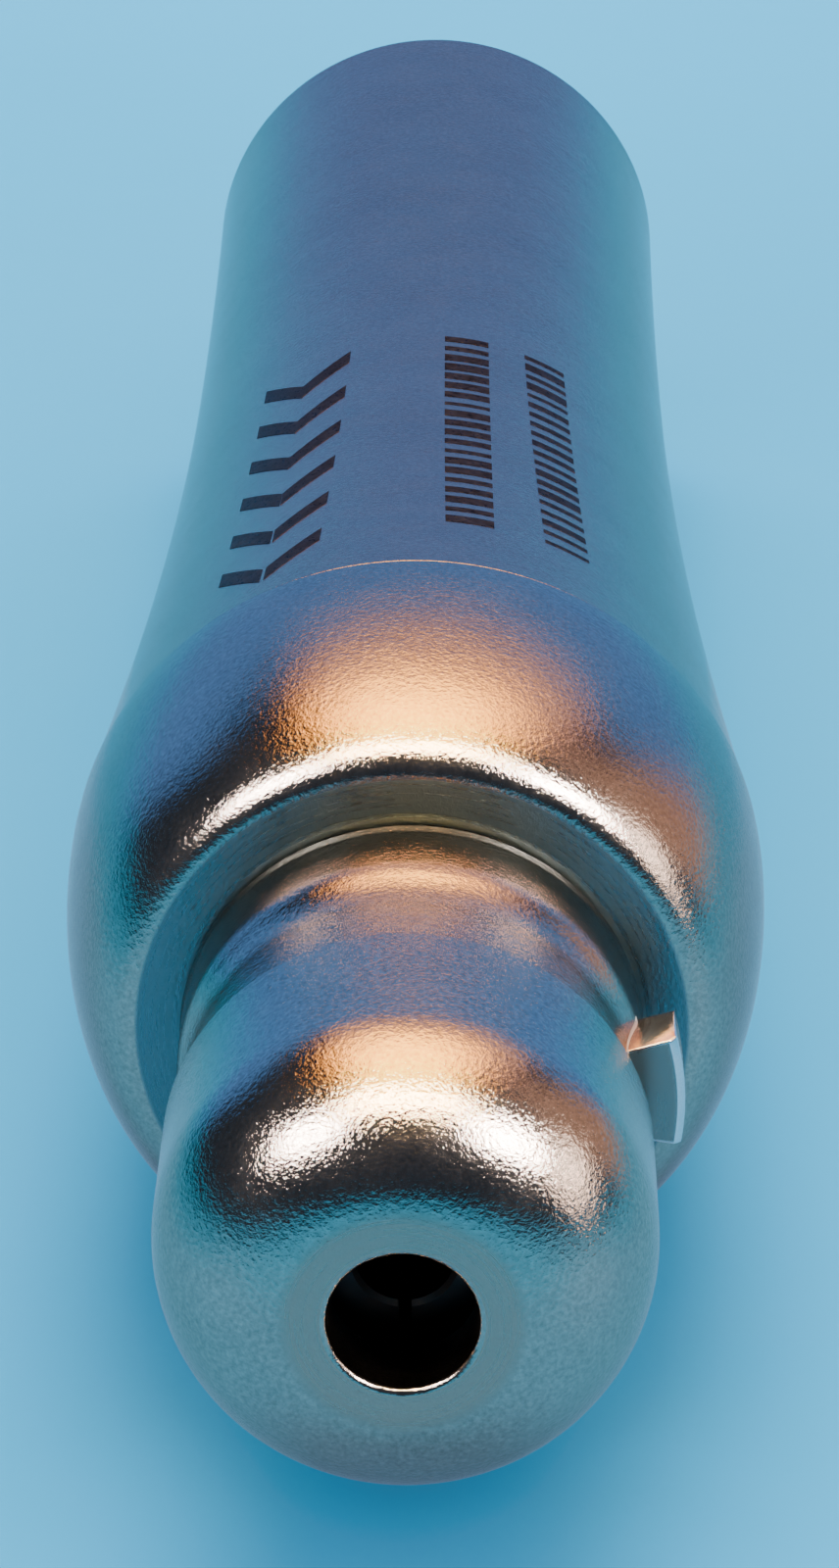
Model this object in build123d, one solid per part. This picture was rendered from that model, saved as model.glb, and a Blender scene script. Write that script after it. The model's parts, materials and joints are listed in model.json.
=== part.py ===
from build123d import *
import math
import os

# Straight prophylaxis handpiece for disposable prophy angles, driven by a motor in its rear socket.
# A 4:1 planetary stage slows the motor, a hollow spindle carries a collet that grips the angle's shank,
# and the bulbous collar behind the nose twists to push the collet open.
#
# Every piece is modelled on one axis, with the station Z measured from the rear rim (0) towards the
# nose, and is then laid down, so that the nose points along -Y and +Z is up. Units are millimetres.

# ---- driving dimensions ----
LENGTH = 81.0  # rear rim to nose tip
FIT = 0.01  # radial play of a pressed joint
RUNNING = 0.03  # radial play of a running joint

# grip sleeve, the long rear casing
REAR_R = 8.0
WAIST_R = 7.8
WAIST = 20.8  # station of the waist
SEAM_R = 9.35
SEAM = 56.8  # station of the joint between grip sleeve and twist collar
SEAM_GAP = 0.06
SLEEVE_BORE_R = 6.85  # seat of the gear cartridge

# motor socket
SOCKET_R = 6.55
SOCKET_DEPTH = 21.0
BUSH_R = 7.2
BUSH_END = 27.6

# twist collar
COLLAR_FACE = 66.0
COLLAR_FACE_R = 7.0
COLLAR_HOLE_R = 5.65
TWIST_DEG = 40.0
RELEASE_TRAVEL = 1.0  # of the release collar, over the whole twist

# nose
NOSE_R = 6.0
NOSE_HOLE_R = 1.75
NOSE_REAR = 66.2  # rear face of the nose's locating collar
NOSE_COLLAR_R = 5.88
GROOVE_R = 5.6
NOSE_BORE_R = 4.5
NOSE_TAIL = 62.6

# anti-turn key
KEY_LOW_DEG, KEY_HIGH_DEG = -9.0, 16.0
KEY_R = 6.85
KEY_START, KEY_END = 68.5, 70.1
KEY_SEAT_R = 5.2

# gear stage, 4:1 with a fixed ring gear
MODULE = 0.28
PRESSURE = math.radians(25)
ADDENDUM, DEDENDUM = 0.8 * MODULE, 1.05 * MODULE
BACKLASH = 0.05
SUN_TEETH, PLANET_TEETH, RING_TEETH = 12, 12, 36
PLANETS = 3
ORBIT_R = MODULE * (SUN_TEETH + PLANET_TEETH) / 2
GEAR_START, GEAR_END = 33.0, 39.2
PLANET_PIN_R = 0.5

# spindle and chuck
SPINDLE_R = 2.5
SPINDLE_HEAD_R = 3.2
SPINDLE_REAR, SPINDLE_FRONT = 39.5, 78.0
SPINDLE_BORE_R = 2.05
CHUCK_R = 1.18  # grips a 2.35 mm shank
CHUCK_BOTTOM, CHUCK_FRONT = 66.5, 77.9
TAPER_START = 75.5
TAPER_R = 2.6
CROSS_PIN_R = 0.45
CROSS_PIN_AT = 59.9
THRUST_START, THRUST_END = 59.1, 60.7
CHUCK_TRAVEL = 0.7  # of the collet, over the whole twist

# guide tube, the fixed core inside the twist collar
GUIDE_R = 6.22
GUIDE_BORE_R = 5.3
GUIDE_START, GUIDE_END = 46.4, 64.9
CAM_PIN_R = 0.6
CAM_PIN_AT = 59.6

# ball bearings
BALL_R = 0.6
RACE_GAP = 0.02
RACE_WALL = 0.65


# ---- helpers ----
def turned(*profile):
    """Solid turned about Z from a closed outline of (radius, station) corners."""
    outline = Polyline([(r, 0, z) for r, z in profile], close=True)
    return revolve(make_face(outline), Axis.Z, 360)


def turned_edges(*edges):
    """Solid turned about Z from outline edges that join end to end."""
    outline = [e for run in edges for e in run.edges()]
    return revolve(make_face(Wire(outline)), Axis.Z, 360)


def line(*points):
    """Straight runs of an outline, through (radius, station) points."""
    return Polyline([(r, 0, z) for r, z in points])


def dome(wide, flat):
    """Quarter ellipse of an outline, from its widest place, parallel to the axis, to a flat face."""
    reach, rise = wide[0] - flat[0], flat[1] - wide[1]
    return Plane.XZ * EllipticalCenterArc((flat[0], wide[1]), reach, rise, arc_size=90)


def arc_from_waist(r, station):
    """Hollow run of the sleeve's outline, from the waist, where it is parallel to the axis, to a wider place."""
    return TangentArc((WAIST_R, 0, WAIST), (r, 0, station), tangent=(0, 0, station - WAIST))


def tube(inner_r, outer_r, low, high):
    return turned((inner_r, low), (outer_r, low), (outer_r, high), (inner_r, high))


def rod(r, low, high):
    return Pos(0, 0, low) * Cylinder(r, high - low, align=(Align.CENTER, Align.CENTER, Align.MIN))


def radial_rod(r, inner, outer, station, degrees):
    """Round rod that points outwards from the axis, between two radii."""
    upright = Cylinder(r, outer - inner, align=(Align.CENTER, Align.CENTER, Align.MIN))
    return Pos(0, 0, station) * Rot(0, 0, degrees) * Pos(inner, 0, 0) * Rot(0, 90, 0) * upright


def sector(inner_r, outer_r, low, high, from_deg, to_deg):
    """Part of a tube between two angles round the axis."""
    face = make_face(Polyline([(r, 0, z) for r, z in
                               ((inner_r, low), (outer_r, low), (outer_r, high), (inner_r, high))], close=True))
    return Rot(0, 0, from_deg) * revolve(face, Axis.Z, to_deg - from_deg)


def write(name, *shapes):
    """Lays the piece down, nose along -Y, and writes it as one STEP file."""
    pieces = [s for shape in shapes for s in (Rot(90, 0, 0) * shape).solids()]
    shape = pieces[0] if len(pieces) == 1 else Compound(children=pieces)
    export_step(shape, os.path.join("parts", name + ".step"))


# ---- gears ----
def involute(angle):
    return math.tan(angle) - angle


def gear_outline(teeth, root_r, tip_r, play, turn):
    """Outline of an external gear, one tooth centred on the angle turn. Below the base circle a flank is radial."""
    pitch_r = MODULE * teeth / 2
    base_r = pitch_r * math.cos(PRESSURE)
    half = (math.pi * MODULE / 2 - play) / (2 * pitch_r) + involute(PRESSURE)
    steps = 5
    flank = []
    for i in range(steps + 1):
        r = root_r + (tip_r - root_r) * i / steps
        flank.append((r, half - involute(math.acos(min(1.0, base_r / r)))))
    points = []
    for tooth in range(teeth):
        middle = turn + 2 * math.pi * tooth / teeth
        rising = [(r, middle - a) for r, a in flank]
        falling = [(r, middle + a) for r, a in reversed(flank)]
        points += [(r * math.cos(a), r * math.sin(a)) for r, a in rising + falling]
    return make_face(Polyline(points, close=True))


def pinion(teeth, bore_r, low, high, turn):
    pitch_r = MODULE * teeth / 2
    face = gear_outline(teeth, pitch_r - DEDENDUM, pitch_r + ADDENDUM, BACKLASH, turn)
    return Pos(0, 0, low) * extrude(face, high - low) - rod(bore_r, low, high)


def make_ring_gear():
    """Fixed ring gear. Its tooth spaces are the teeth of an external gear of the same count."""
    pitch_r = MODULE * RING_TEETH / 2
    space = gear_outline(RING_TEETH, pitch_r - ADDENDUM, pitch_r + DEDENDUM, -BACKLASH, math.pi / RING_TEETH)
    blank = rod(SLEEVE_BORE_R - FIT, GEAR_START, GEAR_END)
    return blank - Pos(0, 0, GEAR_START) * extrude(space, GEAR_END - GEAR_START)


def make_planet(number):
    """Planet gear on its orbit, with a tooth space facing the sun and another facing the ring."""
    degrees = 360 / PLANETS * number
    gear = pinion(PLANET_TEETH, PLANET_PIN_R + RUNNING, GEAR_START + 0.3, GEAR_END - 0.3, math.pi / PLANET_TEETH)
    return Rot(0, 0, degrees) * Pos(ORBIT_R, 0, 0) * gear


def round_the_orbit(shape):
    """One copy of shape at each planet's place."""
    return [Rot(0, 0, 360 / PLANETS * i) * Pos(ORBIT_R, 0, 0) * shape for i in range(PLANETS)]


# ---- ball bearings ----
def write_bearing(name, bore_r, outer_r, low, high, balls):
    """Deep-groove bearing: outer race, inner race, ball cage and the set of balls."""
    middle_r, middle = (bore_r + outer_r) / 2, (low + high) / 2
    groove = Pos(0, 0, middle) * Torus(middle_r, BALL_R + RACE_GAP)
    write(name + "_outer_race", tube(outer_r - RACE_WALL, outer_r - FIT, low, high) - groove)
    write(name + "_inner_race", tube(bore_r + FIT, bore_r + RACE_WALL, low, high) - groove)
    cage = tube(middle_r - 0.2, middle_r + 0.2, middle - 0.95, middle + 0.95)
    places = [360 / balls * i for i in range(balls)]
    for degrees in places:
        cage -= radial_rod(BALL_R + RUNNING, middle_r - 0.6, middle_r + 0.6, middle, degrees)
    write(name + "_cage", cage)
    write(name + "_balls", *[Rot(0, 0, degrees) * Pos(middle_r, 0, middle) * Sphere(BALL_R) for degrees in places])


# ---- casings ----
def make_grip_sleeve():
    """Long waisted casing that the hand holds. A shoulder inside parts the motor socket from the gears."""
    front = SEAM - SEAM_GAP
    rear_run = arc_from_waist(REAR_R, 0.35)
    front_run = arc_from_waist(SEAM_R - 0.02, front)
    rim = line((BUSH_R + FIT, 0), (REAR_R - 0.25, 0), (REAR_R, 0.35))
    inside = line((SEAM_R - 0.02, front), (SEAM_R - 1.0, front), (SEAM_R - 1.0, 53.5), (SLEEVE_BORE_R, 51.0),
                  (SLEEVE_BORE_R, 28.4), (6.2, 28.4), (6.2, BUSH_END), (BUSH_R + FIT, BUSH_END), (BUSH_R + FIT, 0))
    return turned_edges(rim, rear_run, front_run, inside)


def make_coupling_bush():
    """Hard liner of the motor socket, with the groove that the motor's spring ring snaps into."""
    groove = 14.0
    deep_r = SOCKET_R + 0.3
    return turned((SOCKET_R, 0), (BUSH_R, 0), (BUSH_R, BUSH_END), (4.4, BUSH_END), (4.4, SOCKET_DEPTH),
                  (SOCKET_R, SOCKET_DEPTH), (SOCKET_R, groove + 1.2), (deep_r, groove + 0.9),
                  (deep_r, groove + 0.3), (SOCKET_R, groove))


def make_front_shell():
    """Bulbous twist collar, which turns in to a flat front face round the nose's neck."""
    widest = (SEAM_R + 0.04, SEAM + 0.7)
    face = (COLLAR_FACE_R, COLLAR_FACE)
    inside = line(face, (COLLAR_HOLE_R, COLLAR_FACE), (COLLAR_HOLE_R, 65.0), (7.35, 65.0), (7.35, 61.6),
                  (8.4, 60.6), (8.4, SEAM), (SEAM_R + 0.02, SEAM), widest)
    return turned_edges(dome(widest, face), inside)


def make_cam_sleeve():
    """Liner pressed in the front shell, with two straight grooves that drive the cam pins round."""
    bore_r = GUIDE_R + 0.08
    sleeve = turned((bore_r, 57.0), (8.4 - FIT, 57.0), (8.4 - FIT, 60.5), (7.35 - FIT, 61.55),
                    (7.35 - FIT, 64.9), (bore_r, 64.9))
    groove = Pos(0, 0, 59.6) * Box(2 * 7.1, 2 * CAM_PIN_R + 0.08, 5.8)
    return sleeve - (groove - rod(GUIDE_R - 1, 56, 64))


def make_nose_cone():
    """Nose that the disposable angle slides over: domed tip, snap groove and a locating collar."""
    widest, face = (NOSE_R, 76.9), (2.4, LENGTH)
    tip = line((NOSE_HOLE_R, LENGTH - 0.18), (NOSE_HOLE_R + 0.18, LENGTH), face)
    body = line(widest, (NOSE_R, 72.85), (NOSE_R - 0.1, 72.6), (GROOVE_R, 72.45), (GROOVE_R, 69.6),
                (NOSE_COLLAR_R, 68.6), (NOSE_COLLAR_R, NOSE_REAR + 0.12), (NOSE_COLLAR_R - 0.12, NOSE_REAR),
                (5.5, NOSE_REAR), (5.5, 65.0), (GUIDE_BORE_R - FIT, 65.0), (GUIDE_BORE_R - FIT, NOSE_TAIL),
                (NOSE_BORE_R, NOSE_TAIL), (NOSE_BORE_R, 70.55), (3.6, 70.55), (3.6, 79.0),
                (NOSE_HOLE_R, 79.0), (NOSE_HOLE_R, LENGTH - 0.18))
    seat = sector(KEY_SEAT_R, KEY_R + 1, KEY_START - 0.1, KEY_END + 0.12, KEY_LOW_DEG - 0.5, KEY_HIGH_DEG + 1.5)
    return turned_edges(tip, dome(widest, face), body) - seat


def make_anti_turn_key():
    """Curved key let into the nose, which stops the angle's barrel from turning."""
    key = sector(KEY_SEAT_R + FIT, KEY_R, KEY_START, KEY_END, KEY_LOW_DEG, KEY_HIGH_DEG)
    edges = [e for e in key.edges().sort_by(Axis.Z)[-4:] if e.geom_type == GeomType.CIRCLE]
    outer = max(edges, key=lambda e: e.radius)
    return chamfer(outer, 0.15)


# ---- drive ----
def make_drive_dog():
    """Claw coupling that meets the motor's own dog at the bottom of the socket."""
    hub = tube(1.2 + FIT, 2.9, 21.6, 27.2)
    gap = Pos(0, 0, 22.9) * Box(8, 2.4, 2.6)
    hub -= gap
    return hub - radial_rod(0.4 + FIT, -4, 4, 25.7, 90)


def make_input_shaft():
    shaft = turned((0, 22.9 + 1.4), (1.2, 22.9 + 1.4), (1.2, 27.4), (1.5, 27.4), (1.5, 30.95), (1.3, 30.95),
                   (1.3, 31.4), (1.5, 31.4), (1.5, 31.8), (1.0, 31.8), (1.0, 41.7), (0.9, 41.8), (0, 41.8))
    return shaft - radial_rod(0.4 + FIT, -4, 4, 25.7, 90)


def make_bearing_plate():
    """Rear wall of the gear cartridge, which seats the input bearing."""
    r = SLEEVE_BORE_R - FIT
    return turned((3.0, 28.4), (r, 28.4), (r, GEAR_START), (5.2, GEAR_START), (5.2, 32.2), (2.2, 32.2),
                  (2.2, 31.9), (3.5, 31.9), (3.5, 28.9), (3.0, 28.9))


def make_gearbox_front():
    """Front wall of the gear cartridge, which seats the spindle's rear bearing."""
    r = SLEEVE_BORE_R - FIT
    return turned((5.2, GEAR_END), (r, GEAR_END), (r, GUIDE_START), (3.6, GUIDE_START), (3.6, 44.4),
                  (4.5, 44.4), (4.5, 41.4), (5.2, 41.4))


def make_planet_carrier():
    disc = tube(SPINDLE_R + FIT, 4.95, 39.45, 41.0)
    for hole in round_the_orbit(rod(PLANET_PIN_R + FIT, 39, 42)):
        disc -= hole
    return disc


def make_planet_retainer():
    plate = tube(2.3, 4.95, 32.4, 33.0)
    for hole in round_the_orbit(rod(PLANET_PIN_R + FIT, 32, 34)):
        plate -= hole
    return plate


def make_spindle():
    """Hollow output spindle. Its front taper closes the collet, and two slots let the cross pin slide."""
    tube_ = turned((SPINDLE_BORE_R, SPINDLE_REAR), (SPINDLE_R, SPINDLE_REAR), (SPINDLE_R, 70.55),
                   (SPINDLE_HEAD_R, 70.55), (SPINDLE_HEAD_R, SPINDLE_FRONT - 0.2),
                   (SPINDLE_HEAD_R - 0.2, SPINDLE_FRONT), (TAPER_R + 0.08, SPINDLE_FRONT),
                   (SPINDLE_BORE_R, TAPER_START))
    half_width = CROSS_PIN_R + RUNNING
    low, high = CROSS_PIN_AT - half_width, CROSS_PIN_AT + CHUCK_TRAVEL + half_width
    return tube_ - Pos(0, 0, (low + high) / 2) * Box(8, 2 * half_width, high - low)


# ---- chuck ----
def make_collet():
    """Slit spring collet with a tapered head. Its bore grips the shank of the angle."""
    body = turned((0, 63.4), (2.0, 63.4), (2.0, TAPER_START), (TAPER_R, CHUCK_FRONT), (CHUCK_R + 0.12, CHUCK_FRONT),
                  (CHUCK_R, CHUCK_FRONT - 0.12), (CHUCK_R, CHUCK_BOTTOM), (0, CHUCK_BOTTOM))
    body -= rod(1.0, 63.0, 65.6)
    for i in range(3):
        slit = Pos(0, 0, 73.5) * Box(4, 0.3, 10, align=(Align.MIN, Align.CENTER, Align.CENTER))
        body -= Rot(0, 0, 120 * i + 30) * slit
    return body


def make_drawbar():
    """Rod behind the collet, screwed into its tail and crossed by the pin that moves it."""
    bar = turned((0, 57.2), (1.8, 57.2), (2.0, 57.4), (2.0, 63.35), (1.0 - FIT, 63.35), (1.0 - FIT, 65.4), (0, 65.4))
    return bar - radial_rod(CROSS_PIN_R + FIT, -4, 4, CROSS_PIN_AT, 0)


def make_thrust_ring():
    ring = tube(SPINDLE_R + 0.05, 3.8, THRUST_START, THRUST_END)
    return ring - radial_rod(CROSS_PIN_R + FIT, -5, 5, CROSS_PIN_AT, 0)


def make_collet_spring():
    """Coil round the spindle that draws the collet back into its taper."""
    wire_r, coil_r, turns = 0.22, 3.05, 5.5
    low, high = THRUST_END + wire_r + 0.02, 66.5 - wire_r - 0.02
    path = Pos(0, 0, low) * Helix((high - low) / turns, high - low, coil_r)
    start = Plane(origin=path @ 0, z_dir=path % 0)
    return sweep(start * Circle(wire_r), path=path, is_frenet=True)


# ---- release ----
def make_guide_tube():
    """Fixed core tube. Two helical slots turn the twist of the collar into a push along the axis."""
    r = SLEEVE_BORE_R - FIT
    core = turned((GUIDE_BORE_R, GUIDE_START), (r, GUIDE_START), (r, 48.4), (GUIDE_R, 48.4), (GUIDE_R, 62.8),
                  (5.74, 62.8), (5.74, 63.6), (GUIDE_R, 63.6), (GUIDE_R, GUIDE_END), (GUIDE_BORE_R, GUIDE_END))
    steps = 12
    for side in (0, 180):
        for i in range(steps + 1):
            share = i / steps
            core -= radial_rod(CAM_PIN_R + 0.05, 4.5, 7.0, CAM_PIN_AT + RELEASE_TRAVEL * share,
                               side - TWIST_DEG * share)
    return core


def make_release_collar():
    """Sliding collar with an inner lip that pushes the thrust ring towards the nose."""
    r = GUIDE_BORE_R - 0.05
    collar = turned((2.85, 57.2), (r, 57.2), (r, 61.2), (4.1, 61.2), (4.1, THRUST_START - 0.3),
                    (2.85, THRUST_START - 0.3))
    for side in (0, 180):
        collar -= radial_rod(CAM_PIN_R + FIT, 4.3, 6, CAM_PIN_AT, side)
    return collar


def make_circlip(inner_r, outer_r, low, high):
    return tube(inner_r, outer_r, low, high) - Pos(0, 0, (low + high) / 2) * Box(
        2 * outer_r, 0.9, 1, align=(Align.MIN, Align.CENTER, Align.CENTER))


def main():
    os.makedirs("parts", exist_ok=True)

    write("grip_sleeve", make_grip_sleeve())
    write("coupling_bush", make_coupling_bush())
    write("front_shell", make_front_shell())
    write("cam_sleeve", make_cam_sleeve())
    write("nose_cone", make_nose_cone())
    write("anti_turn_key", make_anti_turn_key())

    write("drive_dog", make_drive_dog())
    write("dog_pin", radial_rod(0.4, -2.8, 2.8, 25.7, 90))
    write("input_shaft", make_input_shaft())
    write("shaft_circlip", make_circlip(1.3 + FIT, 2.0, 30.97, 31.38))
    write_bearing("input_bearing", 1.5, 3.5, 28.9, 30.93, 8)
    write("bearing_plate", make_bearing_plate())

    write("sun_gear", pinion(SUN_TEETH, 1.0 + FIT, GEAR_START, GEAR_END - 0.2, 0))
    write("ring_gear", make_ring_gear())
    for number in range(PLANETS):
        write(f"planet_gear_{number + 1}", make_planet(number))
    write("planet_carrier", make_planet_carrier())
    write("planet_retainer", make_planet_retainer())
    write("planet_pins", *round_the_orbit(rod(PLANET_PIN_R, 32.4, 41.0)))
    write("gearbox_front", make_gearbox_front())

    write("spindle", make_spindle())
    write("pilot_bush", tube(1.0 + RUNNING, SPINDLE_BORE_R - FIT, 39.6, 42.2))
    write_bearing("rear_spindle_bearing", SPINDLE_R, 4.5, 41.5, 43.9, 12)
    write("preload_washer", tube(3.75, 4.45, 43.95, 44.35))
    write_bearing("front_spindle_bearing", SPINDLE_R, 4.5, 68.0, 70.5, 12)
    write("bearing_lock_ring", tube(3.75, NOSE_BORE_R - FIT, 66.4, 67.95))
    write("spring_seat", tube(SPINDLE_R + FIT, 3.6, 66.5, 67.95))

    write("collet", make_collet())
    write("drawbar", make_drawbar())
    write("cross_pin", radial_rod(CROSS_PIN_R, -3.7, 3.7, CROSS_PIN_AT, 0))
    write("thrust_ring", make_thrust_ring())
    write("collet_spring", make_collet_spring())

    write("guide_tube", make_guide_tube())
    write("release_collar", make_release_collar())
    write("cam_pins", *[radial_rod(CAM_PIN_R, 4.4, 6.95, CAM_PIN_AT, side) for side in (0, 180)])
    write("guide_lock_ring", tube(GUIDE_R + 0.05, SLEEVE_BORE_R - FIT, 48.45, 50.4))
    write("guide_o_ring", Pos(0, 0, 63.2) * Torus(6.0, 0.25))
    write("nose_seal", tube(SPINDLE_HEAD_R + RUNNING, 3.6 - FIT, 75.6, 76.8))


main()
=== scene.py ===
# %% [markdown]
# # A straight prophy handpiece in satin steel
# The object is a small turned tool: a waisted sleeve for the hand, a bulbous collar that twists, and a domed
# nose that a disposable prophy angle slides over. Nearly every surface is a surface of revolution, so the
# lesson is about three things: turning clean outlines on one lathe, giving edges the tiny roundings that
# catch the light, and a blasted metal whose grain sparkles.

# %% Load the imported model
import json
import math

import bmesh
import bpy
from mathutils import Matrix, Vector


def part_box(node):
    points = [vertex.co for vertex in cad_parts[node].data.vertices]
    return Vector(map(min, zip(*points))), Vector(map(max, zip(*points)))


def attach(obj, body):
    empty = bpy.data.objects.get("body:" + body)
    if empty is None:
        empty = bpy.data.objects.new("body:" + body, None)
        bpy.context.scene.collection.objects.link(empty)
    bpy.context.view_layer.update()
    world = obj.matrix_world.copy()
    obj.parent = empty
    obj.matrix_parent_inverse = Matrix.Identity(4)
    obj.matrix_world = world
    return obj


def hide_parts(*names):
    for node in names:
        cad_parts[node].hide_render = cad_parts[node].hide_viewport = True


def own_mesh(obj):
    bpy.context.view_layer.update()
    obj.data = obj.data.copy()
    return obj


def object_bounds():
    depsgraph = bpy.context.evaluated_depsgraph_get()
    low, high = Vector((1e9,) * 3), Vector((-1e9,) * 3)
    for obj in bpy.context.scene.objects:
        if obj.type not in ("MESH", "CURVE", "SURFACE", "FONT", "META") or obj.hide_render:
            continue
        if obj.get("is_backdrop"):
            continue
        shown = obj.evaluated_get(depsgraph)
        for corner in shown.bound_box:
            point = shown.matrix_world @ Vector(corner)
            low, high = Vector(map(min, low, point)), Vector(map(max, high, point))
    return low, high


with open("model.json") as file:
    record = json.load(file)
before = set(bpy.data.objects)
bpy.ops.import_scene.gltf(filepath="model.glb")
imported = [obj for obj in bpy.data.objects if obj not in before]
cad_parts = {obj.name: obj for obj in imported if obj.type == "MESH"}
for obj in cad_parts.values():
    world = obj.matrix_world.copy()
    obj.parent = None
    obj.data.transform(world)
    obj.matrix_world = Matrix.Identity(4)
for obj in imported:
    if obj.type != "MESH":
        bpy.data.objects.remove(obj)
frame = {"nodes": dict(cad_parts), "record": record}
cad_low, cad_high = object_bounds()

MM = 0.001
nodes = frame["nodes"]

# %% [markdown]
# The tool lies along Y with its nose towards -Y. A maker works with stations instead: the distance from the
# rear rim towards the nose, in millimetres. The stations and radii below are read from the frame, so each
# finished piece sits exactly on the CAD part that it replaces.


# %% Measure stations and radii
def stations(node):
    """Rear and front station of a CAD node, in millimetres."""
    low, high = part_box(node)
    return -high.y / MM, -low.y / MM


def widest(node):
    """Largest radius of a turned CAD node, in millimetres."""
    low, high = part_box(node)
    return (high.x - low.x) / 2 / MM


SLEEVE_FRONT = stations("grip_sleeve")[1]
SLEEVE_R = widest("grip_sleeve")
SEAM, COLLAR_FACE = stations("front_shell")
COLLAR_R = widest("front_shell")
NOSE_TAIL, LENGTH = stations("nose_cone")
NOSE_R = widest("nose_cone")
BUSH_R = widest("coupling_bush")
BUSH_END = stations("coupling_bush")[1]
print(f"sleeve to {SLEEVE_FRONT:.2f}, collar {SEAM:.2f} to {COLLAR_FACE:.2f}, nose to {LENGTH:.2f} mm")

# %% [markdown]
# ## The camera
# The camera comes first, because every later choice of detail depends on what it sees: the tool from its nose
# end, from a little above. A long lens close to a small object still gives strong perspective, so the
# distance and the lens are both real choices here.


# %% Place the camera
def new_object(name, data):
    """An object in the scene, at the origin."""
    thing = bpy.data.objects.new(name, data)
    bpy.context.scene.collection.objects.link(thing)
    return thing


AIM_STATION = 50.2  # what the lens points at, on the axis
CAMERA_DISTANCE = 144.8
CAMERA_RISE = math.radians(23.66)
CAMERA_SWING = math.radians(0.71)
LENS = 117.0
SENSOR_WIDTH = 36.0

camera = new_object("camera", bpy.data.cameras.new("camera"))
bpy.context.scene.camera = camera
camera.data.lens = LENS
camera.data.sensor_width = SENSOR_WIDTH
camera.data.clip_start = 0.005
camera.data.clip_end = 10.0
outward = Vector((math.sin(CAMERA_SWING) * math.cos(CAMERA_RISE),
                  -math.cos(CAMERA_SWING) * math.cos(CAMERA_RISE), math.sin(CAMERA_RISE)))
camera.location = Vector((0, -AIM_STATION * MM, 0)) + outward * CAMERA_DISTANCE * MM
camera.rotation_mode = "QUATERNION"
camera.rotation_quaternion = (-outward).to_track_quat("-Z", "Y")
print(f"camera {CAMERA_DISTANCE:.0f} mm from the aim point, {math.degrees(CAMERA_RISE):.1f} degrees up")

# %% [markdown]
# ## Building node trees
# Materials and Geometry Nodes are both trees of small steps. A few helpers keep the scripts that build them
# short: one adds a step and links or fills its sockets, and the others do arithmetic or take a vector apart
# and put it together.


# %% Helpers for node trees
def add_step(tree, kind, links=None, **settings):
    """Adds a node. links maps an input's name or number to a value or to another node's output."""
    step = tree.nodes.new(kind)
    for key, value in settings.items():
        setattr(step, key, value)
    for key, value in (links or {}).items():
        socket = step.inputs[key]
        if isinstance(value, bpy.types.NodeSocket):
            tree.links.new(value, socket)
        else:
            socket.default_value = value
    return step


def sums(tree, operation, *values):
    """One arithmetic step, in a material or in Geometry Nodes. Returns its output."""
    step = add_step(tree, "ShaderNodeMath", dict(enumerate(values)), operation=operation)
    return step.outputs[0]


def plus(tree, first, second):
    return sums(tree, "ADD", first, second)


def times(tree, first, second):
    return sums(tree, "MULTIPLY", first, second)


def split_xyz(tree, vector):
    return add_step(tree, "ShaderNodeSeparateXYZ", {0: vector}).outputs


def join_xyz(tree, **parts):
    """Vector from X, Y and Z. A part that is left out is zero."""
    return add_step(tree, "ShaderNodeCombineXYZ", parts).outputs[0]


# %% [markdown]
# A Geometry Nodes tree has named inputs for its sizes, ends in real mesh with its material, and is run once
# on an empty carrier. The result is an ordinary mesh that no longer needs the tree.


# %% Helpers for Geometry Nodes
def start_tree(name, **inputs):
    """A Geometry Nodes tree with named inputs. Each is given as socket type and default."""
    tree = bpy.data.node_groups.new(name, "GeometryNodeTree")
    for label, (kind, default) in inputs.items():
        socket = tree.interface.new_socket(label.replace("_", " "), in_out="INPUT",
                                           socket_type="NodeSocket" + kind)
        if default is not None:
            socket.default_value = default
    tree.interface.new_socket("Geometry", in_out="OUTPUT", socket_type="NodeSocketGeometry")
    return tree, tree.nodes.new("NodeGroupInput").outputs


def end_tree(tree, geometry, material):
    """Every tree ends in real mesh with its material."""
    real = add_step(tree, "GeometryNodeRealizeInstances", {0: geometry}).outputs[0]
    dressed = add_step(tree, "GeometryNodeSetMaterial", {"Geometry": real, "Material": material})
    add_step(tree, "NodeGroupOutput", {0: dressed.outputs[0]})


def evaluated_mesh(thing):
    """Plain mesh of an object as its modifiers leave it."""
    graph = bpy.context.evaluated_depsgraph_get()
    graph.update()
    return bpy.data.meshes.new_from_object(thing.evaluated_get(graph), depsgraph=graph)


def bake_tree(name, tree, **values):
    """Runs a tree once on an empty carrier and returns the result as an object with a plain mesh."""
    carrier = new_object(name + "_carrier", bpy.data.meshes.new(name + "_carrier"))
    modifier = carrier.modifiers.new("build", "NODES")
    modifier.node_group = tree
    sockets = {s.name: s.identifier for s in tree.interface.items_tree if s.in_out == "INPUT"}
    for label, value in values.items():
        modifier[sockets[label.replace("_", " ")]] = value
    mesh = evaluated_mesh(carrier)
    mesh.name = name
    carrier.modifiers.remove(modifier)
    bpy.data.objects.remove(carrier)
    return new_object(name, mesh)


def position(tree):
    return add_step(tree, "GeometryNodeInputPosition").outputs[0]


# %% [markdown]
# ## Finishes
# Every finish is procedural. A Noise Texture on Object coordinates gives its grain, at one size everywhere,
# because the coordinates are metres. These helpers are the palette: noise of a real size, colour between two
# shades, bump of a real depth, and the rings that a lathe leaves.


# %% Helpers for finishes
def object_point(tree):
    return add_step(tree, "ShaderNodeTexCoord").outputs["Object"]


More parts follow.
